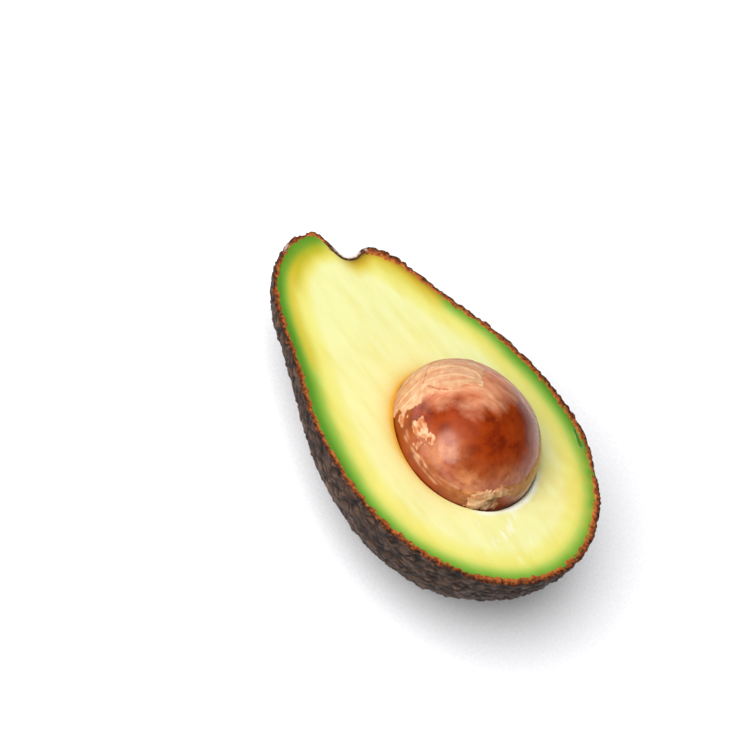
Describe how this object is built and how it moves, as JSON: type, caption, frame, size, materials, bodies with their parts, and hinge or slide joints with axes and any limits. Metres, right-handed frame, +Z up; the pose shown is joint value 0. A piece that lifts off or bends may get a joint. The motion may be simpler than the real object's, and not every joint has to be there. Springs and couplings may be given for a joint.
{
  "type": "halved avocado",
  "caption": "Ripe rough-skinned avocado cut lengthwise, one half lying cut face up with its stone in place.",
  "frame": {"origin": "middle of the small flat spot that the half rests on, in the surface it lies on", "axes": "+X from the stem end to the blossom end, +Z up, away from the surface it lies on and nearly square to the cut face"},
  "size_m": [0.105, 0.069, 0.0482],
  "materials": {
    "skin": "pebbled grey-brown rind, rusty where cut",
    "flesh": "moist cut flesh, cream yellow, green under the skin",
    "stone": "smooth glossy red-brown seed",
    "seed_coat": "dry papery tan seed coat, torn"
  },
  "bodies": {
    "root": {"skin": "skin", "flesh": "flesh", "stone": "stone", "seed_coat": "seed_coat"}
  },
  "joints": []
}
